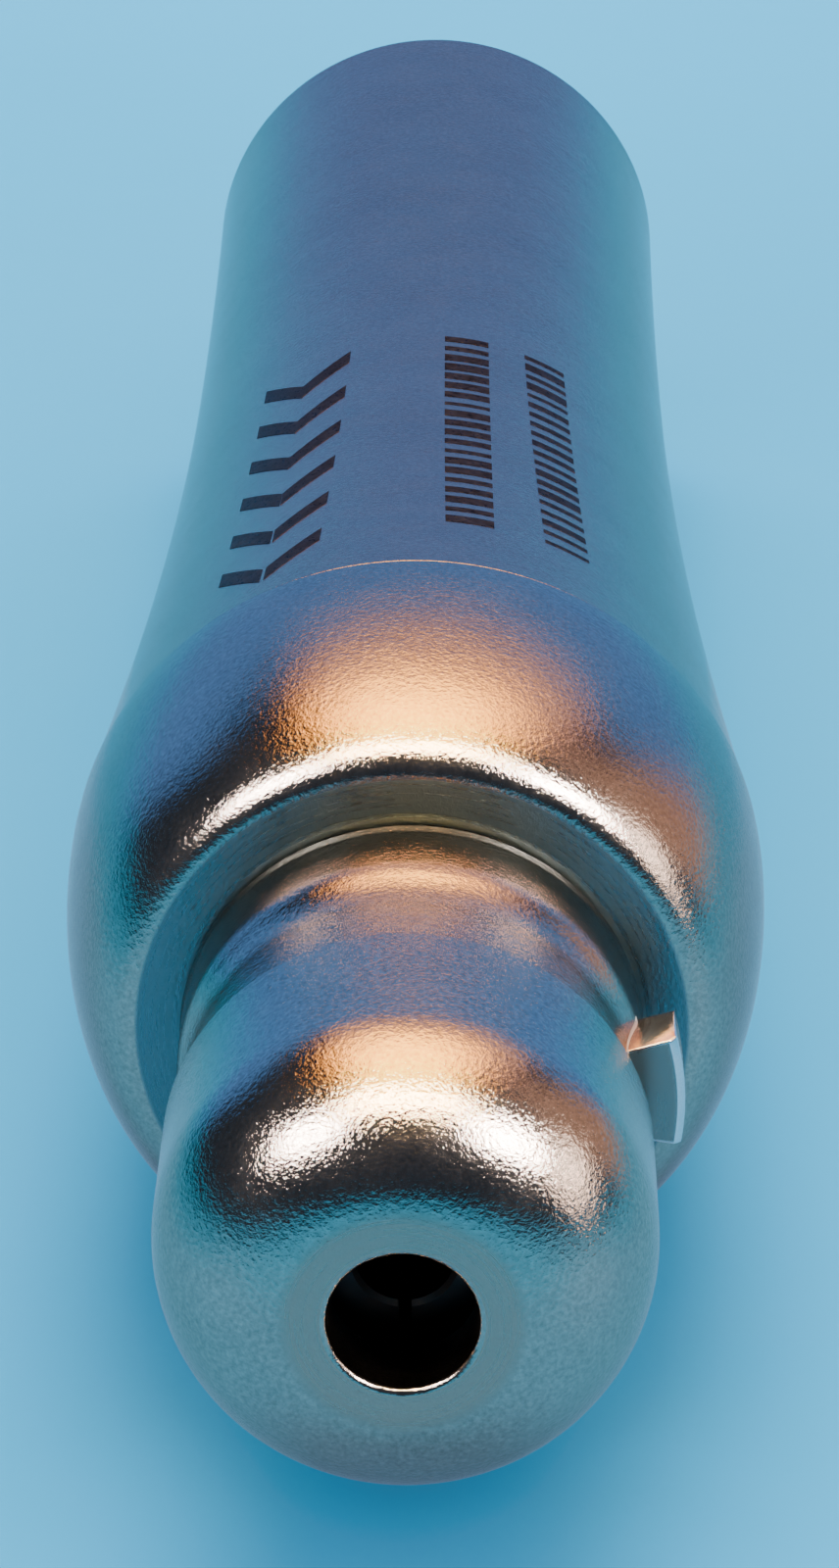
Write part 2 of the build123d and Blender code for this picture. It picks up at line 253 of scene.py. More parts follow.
def noise(tree, point, size, detail=2.0, roughness=0.5):
    """Noise whose blotches are about size millimetres across."""
    step = add_step(tree, "ShaderNodeTexNoise", {
        "Vector": point, "Scale": 1 / (size * MM), "Detail": detail, "Roughness": roughness})
    return step.outputs["Fac"]


def stretch(tree, value, low, high):
    """Maps a noise value from its usual 0.3 to 0.7 onto low to high."""
    step = add_step(tree, "ShaderNodeMapRange", {
        "Value": value, "From Min": 0.3, "From Max": 0.7, "To Min": low, "To Max": high})
    return step.outputs[0]


def tinted(tree, factor, dark, light):
    """Colour between dark and light. Each is a colour or another node's output."""
    step = add_step(tree, "ShaderNodeMix", {0: factor}, data_type="RGBA")
    for label, colour in (("A", dark), ("B", light)):
        if isinstance(colour, tuple):
            step.inputs[label].default_value = (*colour, 1)
        else:
            tree.links.new(colour, step.inputs[label])
    return step.outputs["Result"]


def start_material(name, metallic):
    material = bpy.data.materials.new(name)
    material.use_nodes = True
    tree = material.node_tree
    shader = tree.nodes["Principled BSDF"]
    shader.inputs["Metallic"].default_value = metallic
    return material, tree, shader


def dress(tree, shader, colour, roughness):
    """Links a colour and a roughness to the shader."""
    tree.links.new(colour, shader.inputs["Base Color"])
    tree.links.new(roughness, shader.inputs["Roughness"])


def bumped(tree, shader, height, depth, under=None):
    """Bump of the given depth in millimetres, on top of another bump."""
    links = {"Height": height, "Distance": depth * MM, "Strength": 1.0}
    if under is not None:
        links["Normal"] = under
    step = add_step(tree, "ShaderNodeBump", links)
    tree.links.new(step.outputs["Normal"], shader.inputs["Normal"])
    return step.outputs["Normal"]


def rings_round_axis(tree, point, pitch):
    """Rings about pitch millimetres apart: on a wall they follow the axis, on a flat face the radius."""
    at = split_xyz(tree, point)
    off_axis = sums(tree, "SQRT", plus(tree, times(tree, at["X"], at["X"]), times(tree, at["Z"], at["Z"])))
    along = plus(tree, off_axis, at["Y"])
    return noise(tree, join_xyz(tree, X=along), pitch, detail=3, roughness=0.7)


# %% [markdown]
# The casing is blasted with fine beads: thousands of tiny dimples about a tenth of a millimetre across. Each
# dimple is a small curved mirror, so the metal looks soft from afar and sparkles near a bright light. The
# bottoms of the dimples are painted a little darker, as painted shade in the hollows, and a broad noise
# changes colour and roughness as handling does.
# The flat end faces were turned after the blasting, so they have rings of their own. Their colour is painted
# shade: a slightly darker tone on the sleeve and the nose, and a dark teal on the collar, whose teal is a
# painted reflection of the floor. The shader's Specular Tint sets how much the metal mirrors where it is seen
# edge-on, along the rims.

# %% Blasted metal
HANDLED_SIZE = 3.5  # blotches of colour left by handling, in millimetres like the three below
PATCH_SIZE = 1.2
RIPPLE_SIZE = 0.9
FACE_RING_PITCH = 0.16
WALL_NORMAL, FACE_NORMAL = 0.985, 0.998  # share of a normal that lies along the axis, on wall and end face


def blasted_metal(name, faced, rim, dark=(0.235, 0.185, 0.152), light=(0.395, 0.31, 0.258), grain=0.12,
                  depth=0.018, rough=(0.12, 0.16)):
    """Bead-blasted walls with handling marks, and end faces with rings.

    faced is the colour of the end faces, and rim how much a surface seen edge-on reflects. grain and depth
    are the width and depth of a dimple in millimetres.
    """
    material, tree, shader = start_material(name, 1.0)
    shader.inputs["Specular Tint"].default_value = (*rim, 1)
    point = object_point(tree)
    dimples = noise(tree, point, grain, detail=3, roughness=0.6)
    handled = noise(tree, point, HANDLED_SIZE, detail=4)
    # Painted shade: the colour darkens where the dimples are deep, mixed with the tone left by handling.
    dimple_shade_and_handling = stretch(tree, plus(tree, times(tree, dimples, 0.8), times(tree, handled, 0.2)), 0, 1)
    normal = add_step(tree, "ShaderNodeTexCoord").outputs["Normal"]
    along_axis = sums(tree, "ABSOLUTE", split_xyz(tree, normal)["Y"])
    end_face = add_step(tree, "ShaderNodeMapRange", {
        "Value": along_axis, "From Min": WALL_NORMAL, "From Max": FACE_NORMAL}).outputs[0]
    rings = rings_round_axis(tree, point, FACE_RING_PITCH)
    on_wall = stretch(tree, noise(tree, point, PATCH_SIZE, detail=3), *rough)
    on_face = times(tree, end_face, stretch(tree, rings, 0.10, 0.20))
    dress(tree, shader, tinted(tree, end_face, tinted(tree, dimple_shade_and_handling, dark, light), faced),
          plus(tree, on_wall, on_face))
    fine = bumped(tree, shader, dimples, depth)
    turned = bumped(tree, shader, times(tree, rings, end_face), depth * 0.04, under=fine)
    bumped(tree, shader, noise(tree, point, RIPPLE_SIZE), depth * 0.7, under=turned)
    return material


# The faced colours are painted shade: slightly darker on the sleeve and nose, dark teal on the collar, where
# the teal is a painted reflection.
casing_metal = blasted_metal("satin_casing_metal", faced=(0.30, 0.21, 0.165), rim=(1.0, 0.52, 0.48))
collar_metal = blasted_metal("satin_collar_metal", faced=(0.10, 0.14, 0.145), rim=(0.85, 0.60, 0.58))
nose_metal = blasted_metal("satin_nose_metal", faced=(0.30, 0.21, 0.165), rim=(0.80, 0.74, 0.70))
key_metal = blasted_metal("key_metal", faced=(0.17, 0.16, 0.14), rim=(1.0, 0.9, 0.9), dark=(0.58, 0.50, 0.49),
                          light=(0.68, 0.60, 0.58), grain=0.05, depth=0.002)
print("casing, collar, nose and key metal are ready")

# %% [markdown]
# The pieces inside have finishes of their own: ground races and balls, oiled gears, drawn spring wire, turned
# bronze, phenolic ball cages and black rubber rings. The chuck, its drawbar and the spindle are painted near
# black: painted shade for the hole 3.5 mm wide that they sit deep inside, so that it looks black.


# %% Finishes of the inner pieces
def turned_metal(name, dark, light, pitch=0.09, depth=0.0015, rough=(0.2, 0.3)):
    """Metal straight from the lathe: rings round the axis, on the faces as on the walls."""
    material, tree, shader = start_material(name, 1.0)
    point = object_point(tree)
    rings = rings_round_axis(tree, point, pitch)
    tint = stretch(tree, noise(tree, point, 2.0, detail=3), 0, 1)
    dress(tree, shader, tinted(tree, tint, dark, light), stretch(tree, rings, *rough))
    bumped(tree, shader, rings, depth)
    return material


def moulded(name, dark, light, rough, grain=0.3, depth=0.004):
    """Rubber or resin from a mould, with a soft uneven skin."""
    material, tree, shader = start_material(name, 0.0)
    point = object_point(tree)
    skin = noise(tree, point, grain, detail=3)
    dress(tree, shader, tinted(tree, stretch(tree, skin, 0, 1), dark, light),
          stretch(tree, noise(tree, point, 1.5), *rough))
    bumped(tree, shader, skin, depth)
    return material


finishes = {
    "satin_casing": casing_metal,
    "key_steel": key_metal,
    "turned_steel": turned_metal("turned_steel_metal", (0.42, 0.43, 0.45), (0.56, 0.57, 0.58)),
    "ground_steel": turned_metal("ground_metal", (0.62, 0.63, 0.64), (0.72, 0.73, 0.74), pitch=0.03,
                                 depth=0.0004, rough=(0.1, 0.16)),
    "gear_steel": turned_metal("gear_metal", (0.30, 0.29, 0.27), (0.46, 0.45, 0.43), pitch=0.05,
                               depth=0.001, rough=(0.22, 0.34)),
    "spring_steel": turned_metal("spring_metal", (0.40, 0.40, 0.42), (0.56, 0.56, 0.58), pitch=0.05,
                                 depth=0.001, rough=(0.2, 0.3)),
    "bronze": turned_metal("bronze_metal", (0.50, 0.32, 0.14), (0.68, 0.46, 0.23), pitch=0.08,
                           depth=0.001, rough=(0.24, 0.36)),
    "cage_resin": moulded("cage_phenolic", (0.10, 0.045, 0.02), (0.19, 0.09, 0.04), rough=(0.4, 0.55)),
    "seal_rubber": moulded("seal_rubber_skin", (0.012, 0.012, 0.012), (0.03, 0.03, 0.032), rough=(0.5, 0.7)),
}
# Painted shade: the chuck, drawbar and spindle are painted near black so that the deep hole looks black.
painted_shade_chuck_steel = turned_metal("painted_shade_chuck_metal", (0.03, 0.03, 0.032), (0.09, 0.09, 0.095), pitch=0.06,
                           depth=0.001, rough=(0.3, 0.45))
IN_PAINTED_SHADE = ("collet", "drawbar", "spindle")

slot_of = {part["node"]: part["material_slot"] for part in frame["record"]["subparts"]}
for name, node in nodes.items():
    finish = painted_shade_chuck_steel if name in IN_PAINTED_SHADE else finishes[slot_of[name]]
    node.data.materials.clear()
    node.data.materials.append(finish)
print(f"{len(nodes)} CAD nodes have {len(finishes) + 1} finishes")

# %% [markdown]
# ## A lathe in Geometry Nodes
# A turned part is one outline carried round an axis. The tree takes the outline as an object, lays a grid
# with one row of vertices for each outline point, and moves every vertex to its radius and angle. Sampling
# the outline by index, not by length, keeps each corner exactly where it was drawn. The seam is then merged,
# so the mesh is closed.


# %% Build the lathe
def build_lathe():
    tree, given = start_tree("lathe", Outline=("Object", None), Segments=("Int", 192),
                             Merge_Within=("Float", 1e-6), Finish=("Material", None))
    outline = add_step(tree, "GeometryNodeObjectInfo", {"Object": given["Outline"]}).outputs["Geometry"]
    rows = add_step(tree, "GeometryNodeAttributeDomainSize", {0: outline}).outputs["Point Count"]
    columns = plus(tree, given["Segments"], 1.0)
    grid = add_step(tree, "GeometryNodeMeshGrid", {
        "Size X": 1.0, "Size Y": 1.0, "Vertices X": columns, "Vertices Y": rows}).outputs["Mesh"]
    index = add_step(tree, "GeometryNodeInputIndex").outputs[0]
    row = sums(tree, "MODULO", index, rows)
    column = sums(tree, "FLOOR", sums(tree, "DIVIDE", plus(tree, index, 0.5), rows))
    drawn = add_step(tree, "GeometryNodeSampleIndex", {
        "Geometry": outline, "Value": position(tree), "Index": row}, data_type="FLOAT_VECTOR")
    at = split_xyz(tree, drawn.outputs[0])
    angle = times(tree, sums(tree, "DIVIDE", column, given["Segments"]), math.tau)
    moved = join_xyz(tree, X=times(tree, at["X"], sums(tree, "COSINE", angle)), Y=at["Y"],
                     Z=times(tree, at["X"], sums(tree, "SINE", angle)))
    turned = add_step(tree, "GeometryNodeSetPosition", {"Geometry": grid, "Position": moved}).outputs[0]
    merged = add_step(tree, "GeometryNodeMergeByDistance", {
        "Geometry": turned, "Distance": given["Merge Within"]}).outputs[0]
    smooth = add_step(tree, "GeometryNodeSetShadeSmooth", {"Geometry": merged, "Shade Smooth": True})
    end_tree(tree, smooth.outputs[0], given["Finish"])
    return tree


lathe = build_lathe()
print(f"the lathe is a tree of {len(lathe.nodes)} steps")

# %% [markdown]
# An outline is a list of (radius, station) corners. Real metal has no perfectly sharp edge, and it is the
# tiny roundings that draw the bright lines round a turned part, so a corner may carry a rounding as a third
# number. Each rounding gets a few points, and one more on each side that holds the flat face flat.


# %% Draw outlines and turn them
def rounded(*corners, steps=6, hold=0.15):
    """Closed outline through (radius, station) or (radius, station, rounding) corners."""
    drawn = []
    for i, (r, station, *rounding) in enumerate(corners):
        here = Vector((r, station))
        if not rounding:
            drawn.append(here)
            continue
        back = (Vector(corners[i - 1][:2]) - here).normalized()
        ahead = (Vector(corners[(i + 1) % len(corners)][:2]) - here).normalized()
        half = back.angle(ahead) / 2
        reach = rounding[0] / math.tan(half)
        centre = here + (back + ahead).normalized() * rounding[0] / math.sin(half)
        first, last = here + back * reach - centre, here + ahead * reach - centre
        drawn.append(here + back * reach * (1 + hold))
        drawn += [centre + first.slerp(last, k / steps) * rounding[0] for k in range(steps + 1)]
        drawn.append(here + ahead * reach * (1 + hold))
    return drawn


def quarter_ellipse(wide, flat, steps=28):
    """Points from the widest place to a flat face, both as (radius, station)."""
    reach, rise = wide[0] - flat[0], flat[1] - wide[1]
    angles = [math.pi / 2 * k / steps for k in range(steps + 1)]
    return [(flat[0] + reach * math.cos(a), wide[1] + rise * math.sin(a)) for a in angles]


def face_outwards(mesh):
    work = bmesh.new()
    work.from_mesh(mesh)
    bmesh.ops.recalc_face_normals(work, faces=work.faces)
    work.to_mesh(mesh)
    work.free()


def turn(name, outline, finish, segments=192):
    """Turns a closed outline on the lathe."""
    points = [(p[0] * MM, -p[1] * MM, 0) for p in outline]
    mesh = bpy.data.meshes.new(name + "_outline")
    mesh.from_pydata(points + points[:1], [(i, i + 1) for i in range(len(points))], [])
    drawing = new_object(name + "_outline", mesh)
    piece = bake_tree(name, lathe, Outline=drawing, Segments=segments, Finish=finish)
    bpy.data.objects.remove(drawing)
    face_outwards(piece.data)
    print(f"{name}: {len(points)} outline points, {len(piece.data.polygons)} faces")
    return piece


def put_on(piece, body, slot, *stood_for):
    """The piece rides on its body and stands for CAD nodes, which are hidden. slot is not used."""
    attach(piece, body)
    if stood_for:
        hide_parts(*stood_for)


# %% [markdown]
# ## The grip sleeve
# The long casing is straight at the rear, narrows to a waist where the fingers close round it, and flares to
# meet the collar. In the CAD model two circular arcs meet at the waist, so here the radius at a station comes
# from the same circle formula.

# %% Turn the grip sleeve
WAIST_R = 7.8
WAIST = 20.8
REAR_R = 8.0
FINE_SEGMENTS = 224
WALL_START, WALL_PITCH, WALL_COUNT = 1.2, 1.15, 48
BUSH_SEAT_R = BUSH_R + 0.01
NECK_R = 6.2
CARTRIDGE_R = widest("ring_gear") + 0.01
CARTRIDGE_REAR, CARTRIDGE_FRONT = 28.4, 51.0
MOUTH_R = SLEEVE_R - 1
MOUTH_REAR = 53.5


def arc_radius(r_end, station_end):
    """Radius of the circle that leaves the waist parallel to the axis and passes through the end."""
    rise, run = r_end - WAIST_R, station_end - WAIST
    return (rise ** 2 + run ** 2) / (2 * rise)


FRONT_ARC_R = arc_radius(SLEEVE_R, SLEEVE_FRONT)
REAR_ARC_R = arc_radius(REAR_R, 0)


def sleeve_r(station):
    """Outer radius of the sleeve."""
    arc = FRONT_ARC_R if station > WAIST else REAR_ARC_R
    return WAIST_R + arc - math.sqrt(arc ** 2 - (station - WAIST) ** 2)


wall_points = [(sleeve_r(s), s) for s in [WALL_START + WALL_PITCH * k for k in range(WALL_COUNT)]]
sleeve_outline = rounded(
    (BUSH_SEAT_R, 0, 0.04), (REAR_R, 0, 0.3), *wall_points, (SLEEVE_R, SLEEVE_FRONT, 0.05),
    (MOUTH_R, SLEEVE_FRONT, 0.05), (MOUTH_R, MOUTH_REAR), (CARTRIDGE_R, CARTRIDGE_FRONT),
    (CARTRIDGE_R, CARTRIDGE_REAR), (NECK_R, CARTRIDGE_REAR, 0.1), (NECK_R, BUSH_END, 0.1),
    (BUSH_SEAT_R, BUSH_END))
grip_sleeve = turn("grip_sleeve_satin", sleeve_outline, casing_metal, FINE_SEGMENTS)
put_on(grip_sleeve, "housing", "satin_casing", "grip_sleeve")

# %% [markdown]
# ## The twist collar
# The bulb behind the nose is what the user twists to free the shank. It is widest at its joint with the
# sleeve and closes in a quarter ellipse to a flat front face. The fine rounding at the joint is what shows
# the parting line as a bright thread.

# %% Turn the twist collar
BELLY = SEAM + 0.7
COLLAR_FACE_R = 7.0
COLLAR_HOLE_R = 5.65
COLLAR_HOLE_REAR = 65.0
COLLAR_STEP_R = 7.35
COLLAR_STEP_REAR = 61.6
COLLAR_CAVITY_R = 8.4
COLLAR_CAVITY_FRONT = 60.6

bulb = quarter_ellipse((COLLAR_R, BELLY), (COLLAR_FACE_R, COLLAR_FACE))
collar_outline = rounded(
    (COLLAR_R - 0.02, SEAM, 0.05), *bulb, (COLLAR_HOLE_R, COLLAR_FACE, 0.12),
    (COLLAR_HOLE_R, COLLAR_HOLE_REAR, 0.1), (COLLAR_STEP_R, COLLAR_HOLE_REAR),
    (COLLAR_STEP_R, COLLAR_STEP_REAR), (COLLAR_CAVITY_R, COLLAR_CAVITY_FRONT), (COLLAR_CAVITY_R, SEAM, 0.05))
twist_collar = turn("twist_collar_satin", collar_outline, collar_metal, FINE_SEGMENTS)
put_on(twist_collar, "twist_collar", "satin_casing", "front_shell")

# %% [markdown]
# ## The nose
# The nose has the most edges of all: a hole with a broken edge, a flat face, a dome, the cylinder that guides
# the prophy angle, the groove that it snaps into, and a ridge whose rear edge is a thin lip. The lip is drawn
# as a small bead, because that is the line of light that runs round the nose.

# %% Turn the nose
HOLE_R = 1.75
HOLE_REAR = 79.0
FACE_R = 2.4
DOME_START = 76.9
GROOVE_R = 5.6
GROOVE_FRONT = 72.45
GROOVE_REAR = 69.6
RIDGE = 68.6
RIDGE_R = 5.88
LIP = 66.2
SHOULDER_R = 5.5
SHOULDER = 65.0
TAIL_R = 5.29
BEARING_BORE_R = 4.5
BEARING_STOP = 70.55
CHUCK_ROOM_R = 3.6

dome = quarter_ellipse((NOSE_R, DOME_START), (FACE_R, LENGTH))
nose_outline = rounded(
    (HOLE_R, LENGTH, 0.17), *reversed(dome), (NOSE_R, GROOVE_FRONT + 0.25, 0.1),
    (GROOVE_R, GROOVE_FRONT, 0.12), (GROOVE_R, GROOVE_REAR, 4.0), (RIDGE_R, RIDGE, 2.2),
    (RIDGE_R, LIP + 0.35, 0.5), (RIDGE_R + 0.05, LIP + 0.1, 0.05), (RIDGE_R - 0.05, LIP, 0.05),
    (SHOULDER_R, LIP, 0.05), (SHOULDER_R, SHOULDER, 0.05), (TAIL_R, SHOULDER), (TAIL_R, NOSE_TAIL, 0.1),
    (BEARING_BORE_R, NOSE_TAIL, 0.1), (BEARING_BORE_R, BEARING_STOP), (CHUCK_ROOM_R, BEARING_STOP, 0.05),
    (CHUCK_ROOM_R, HOLE_REAR, 0.2), (HOLE_R, HOLE_REAR, 0.1))
nose = turn("nose_satin", nose_outline, nose_metal, FINE_SEGMENTS)

# %% [markdown]
# ## The anti-turn key and its seat
# A curved key stands out of the nose on one side. It fits a notch in the angle's barrel, so the barrel cannot
# turn. Its seat is a milled slot, a little wider and longer than the key. The slot is cut with a Boolean, and
# the key is a solid of its own, with a narrow chamfer along its front edge.


# %% Helpers for swept and cut pieces
def skinned(name, rings):
    """Closed mesh through rings of points, with a flat cap at each end."""
    work = bmesh.new()
    rings = [[work.verts.new(point) for point in ring] for ring in rings]
    for ring, following in zip(rings, rings[1:]):
        for i in range(len(ring)):
            j = (i + 1) % len(ring)
            work.faces.new((ring[i], ring[j], following[j], following[i]))
    work.faces.new(rings[0])
    work.faces.new(list(reversed(rings[-1])))
    bmesh.ops.recalc_face_normals(work, faces=work.faces)
    mesh = bpy.data.meshes.new(name)
    work.to_mesh(mesh)
    work.free()
    return mesh


def swept_block(name, section, start, end, steps=24):
    """Closed (radius, station) section swept round the axis between two angles from +X towards +Z."""
    angles = [start + (end - start) * k / steps for k in range(steps + 1)]
    rings = [[(r * MM * math.cos(a), -s * MM, r * MM * math.sin(a)) for r, s in section] for a in angles]
    return new_object(name, skinned(name, rings))


def finish_shape(piece):
    """Applies the modifiers by taking the evaluated mesh."""
    mesh = evaluated_mesh(piece)
    piece.modifiers.clear()
    piece.data = mesh


def sharpen(piece, degrees):
    piece.data.shade_smooth()
    piece.data.set_sharp_from_angle(angle=math.radians(degrees))


# %% Mill the seat
KEY_REAR, KEY_FRONT = stations("anti_turn_key")
KEY_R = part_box("anti_turn_key")[1].x / MM
KEY_LOW, KEY_HIGH = math.radians(-9), math.radians(16)
KEY_ROOT_R = 5.21
SEAT_R = KEY_ROOT_R - 0.01
CUTTER_R = KEY_R + 1
END_PLAY = math.radians(0.6)
SIDE_PLAY = 0.1

slot_section = [(SEAT_R, KEY_REAR - SIDE_PLAY), (CUTTER_R, KEY_REAR - SIDE_PLAY),
                (CUTTER_R, KEY_FRONT + SIDE_PLAY), (SEAT_R, KEY_FRONT + SIDE_PLAY)]
slot_cutter = swept_block("slot_cutter", slot_section, KEY_LOW - END_PLAY, KEY_HIGH + END_PLAY)
cut = nose.modifiers.new("mill", "BOOLEAN")
cut.operation = "DIFFERENCE"
cut.solver = "EXACT"
cut.object = slot_cutter
finish_shape(nose)
bpy.data.objects.remove(slot_cutter)
sharpen(nose, 32)
put_on(nose, "housing", "satin_casing", "nose_cone")
print(f"nose with its seat: {len(nose.data.polygons)} faces")

# %% Make the key
CHAMFER = 0.17
EDGE_BREAK = 0.035

key_section = [(KEY_ROOT_R, KEY_REAR), (KEY_R, KEY_REAR), (KEY_R, KEY_FRONT - CHAMFER),
               (KEY_R - CHAMFER, KEY_FRONT), (KEY_ROOT_R, KEY_FRONT)]
key = swept_block("anti_turn_key_satin", key_section, KEY_LOW, KEY_HIGH)
key.data.materials.append(key_metal)
edges = key.modifiers.new("broken_edges", "BEVEL")
edges.width = EDGE_BREAK * MM
edges.segments = 3
edges.limit_method = "ANGLE"
edges.angle_limit = math.radians(35)
finish_shape(key)
sharpen(key, 40)
put_on(key, "housing", "key_steel", "anti_turn_key")
print(f"key from {KEY_REAR:.2f} to {KEY_FRONT:.2f} mm, {len(key.data.polygons)} faces")

# %% [markdown]
# ## The motor socket's liner
# Seen from behind, the socket is a polished steel liner with the groove that the motor snaps into. A broken
# edge at its mouth guides the motor in.

# %% Turn the socket liner
SOCKET_R = 6.55
SOCKET_DEPTH = 21.0
SHAFT_HOLE_R = 4.4
SNAP_GROOVE = 14.0
SNAP_R = SOCKET_R + 0.3

liner_outline = rounded(
    (SOCKET_R, 0, 0.25), (BUSH_R, 0, 0.05), (BUSH_R, BUSH_END), (SHAFT_HOLE_R, BUSH_END),
    (SHAFT_HOLE_R, SOCKET_DEPTH, 0.1), (SOCKET_R, SOCKET_DEPTH, 0.2), (SOCKET_R, SNAP_GROOVE + 1.2, 0.05),
    (SNAP_R, SNAP_GROOVE + 0.9, 0.1), (SNAP_R, SNAP_GROOVE + 0.3, 0.1), (SOCKET_R, SNAP_GROOVE, 0.05))
liner = turn("socket_liner", liner_outline, finishes["turned_steel"])
put_on(liner, "housing", "turned_steel", "coupling_bush")

# %% [markdown]
# ## Etched marks
# The sleeve carries plain etched marks: a row of chevrons that points to the nose, and two rows of bars like
# a trace code. They mean nothing else, and there is no lettering. Each mark is a thin film that stands a
# hundredth of a millimetre above the metal. Geometry Nodes lay thin blocks out on a flat sheet and then wrap
# the sheet round the sleeve: the distance across becomes an angle, and the radius comes from the sleeve's own
# circle.


# %% Oxide of the marks
def etched_material():
    material, tree, shader = start_material("etched_oxide", 1.0)
    shader.inputs["Specular Tint"].default_value = (0.3, 0.3, 0.32, 1)
    point = object_point(tree)
    tint = stretch(tree, noise(tree, point, 0.25, detail=3), 0, 1)
    dress(tree, shader, tinted(tree, tint, (0.05, 0.045, 0.045), (0.09, 0.08, 0.08)),
          stretch(tree, noise(tree, point, 0.12), 0.26, 0.36))
    bumped(tree, shader, noise(tree, point, 0.06, detail=3), 0.003)
    return material


oxide = etched_material()
print("the oxide is ready")


# %% Build the etching tree
def build_etching():
    """Bars in one row along the sleeve. Random widths come from a seed, and Slant turns each bar."""
    tree, given = start_tree(
        "etched_row", Count=("Int", 10), Pitch=("Float", 1 * MM), Bar_Height=("Float", 1 * MM),
        Thinnest=("Float", 0.2 * MM), Thickest=("Float", 0.2 * MM), Slant=("Float", 0.0),
        Start=("Float", 33 * MM), Row_Angle=("Float", 0.0), Film=("Float", 0.02 * MM),
        Waist_Radius=("Float", WAIST_R * MM), Waist_Station=("Float", WAIST * MM),
        Arc_Radius=("Float", FRONT_ARC_R * MM), Seed=("Int", 1), Finish=("Material", None))
    row = add_step(tree, "GeometryNodeMeshLine", {
        "Count": given["Count"], "Start Location": join_xyz(tree, Y=given["Start"]),
        "Offset": join_xyz(tree, Y=given["Pitch"])}).outputs[0]
    block = add_step(tree, "GeometryNodeMeshCube", {
        "Size": join_xyz(tree, X=given["Bar Height"], Y=1.0, Z=given["Film"]),
        "Vertices X": 13, "Vertices Y": 5, "Vertices Z": 2}).outputs[0]
    drawn = add_step(tree, "FunctionNodeRandomValue", {
        2: given["Thinnest"], 3: given["Thickest"], "Seed": given["Seed"]}, data_type="FLOAT")
    placed = add_step(tree, "GeometryNodeInstanceOnPoints", {
        "Points": row, "Instance": block, "Scale": join_xyz(tree, X=1.0, Y=drawn.outputs[1], Z=1.0)})
    flat = add_step(tree, "GeometryNodeRealizeInstances", {0: placed.outputs[0]}).outputs[0]
    at = split_xyz(tree, position(tree))
    station = plus(tree, at["Y"], times(tree, at["X"], given["Slant"]))
    run = sums(tree, "SUBTRACT", station, given["Waist Station"])
    arc = given["Arc Radius"]
    drop = sums(tree, "SQRT", sums(tree, "SUBTRACT", times(tree, arc, arc), times(tree, run, run)))
    surface = plus(tree, given["Waist Radius"], sums(tree, "SUBTRACT", arc, drop))
    radius = plus(tree, surface, at["Z"])
    angle = plus(tree, given["Row Angle"], sums(tree, "DIVIDE", at["X"], surface))
    wrapped = join_xyz(tree, X=times(tree, radius, sums(tree, "SINE", angle)), Y=times(tree, station, -1.0),
                       Z=times(tree, radius, sums(tree, "COSINE", angle)))
    laid = add_step(tree, "GeometryNodeSetPosition", {"Geometry": flat, "Position": wrapped}).outputs[0]
    end_tree(tree, laid, given["Finish"])
    return tree


etching = build_etching()
print(f"the etching is a tree of {len(etching.nodes)} steps")


# %% Etch the chevrons and the two rows of bars
def etch(name, degrees, **values):
    """Etches one row of marks at an angle round the sleeve, from its top."""
    mark = bake_tree(name, etching, Row_Angle=math.radians(degrees), Finish=oxide, **values)
    face_outwards(mark.data)
    put_on(mark, "housing", "satin_casing")


CHEVRON_MIDDLE = -27
CHEVRON_SLANT = 1.3
CHEVRON_ARM = 0.745  # from the middle of a chevron to the middle of its arm, in millimetres
CHEVRON_STATION = 44
half_step = math.degrees(CHEVRON_ARM / sleeve_r(CHEVRON_STATION))
for side, name in ((-1, "chevrons_left"), (1, "chevrons_right")):
    etch(name, CHEVRON_MIDDLE + side * half_step, Seed=1, Count=6, Start=36.4 * MM, Pitch=3.5 * MM,
         Thinnest=1.15 * MM, Thickest=1.15 * MM, Bar_Height=1.5 * MM, Slant=-side * CHEVRON_SLANT)
for name, degrees, seed in (("trace_bars_upper", 9, 11), ("trace_bars_lower", 27, 23)):
    etch(name, degrees, Seed=seed, Count=20, Start=34.5 * MM, Pitch=0.95 * MM,
         Thinnest=0.2 * MM, Thickest=0.7 * MM, Bar_Height=1.35 * MM, Slant=0.0)
print("marks etched: 6 chevrons and 2 rows of 20 bars")

# %% [markdown]
# ## The bearing balls
# Three bearings hold 32 balls. One tree makes a ring of spheres from a count, a ring radius and a ball
# radius, all measured from the CAD balls, so that they sit in the same pockets.


# %% Make the balls
def build_ball_ring():
    tree, given = start_tree(
        "ball_ring", Count=("Int", 8), Ring_Radius=("Float", 3.5 * MM), Ball_Radius=("Float", 0.6 * MM),
        Station=("Float", 50 * MM), Finish=("Material", None))
    ring = add_step(tree, "GeometryNodeMeshCircle", {
        "Vertices": given["Count"], "Radius": given["Ring Radius"]}).outputs[0]
    ball = add_step(tree, "GeometryNodeMeshIcoSphere", {
        "Radius": given["Ball Radius"], "Subdivisions": 4}).outputs[0]
    balls = add_step(tree, "GeometryNodeInstanceOnPoints", {"Points": ring, "Instance": ball}).outputs[0]
    real = add_step(tree, "GeometryNodeRealizeInstances", {0: balls}).outputs[0]
    at = split_xyz(tree, position(tree))
    laid_down = join_xyz(tree, X=at["X"], Y=sums(tree, "SUBTRACT", at["Z"], given["Station"]),
                         Z=times(tree, at["Y"], -1.0))
    placed = add_step(tree, "GeometryNodeSetPosition", {"Geometry": real, "Position": laid_down}).outputs[0]
    smooth = add_step(tree, "GeometryNodeSetShadeSmooth", {"Geometry": placed, "Shade Smooth": True})
    end_tree(tree, smooth.outputs[0], given["Finish"])
    return tree


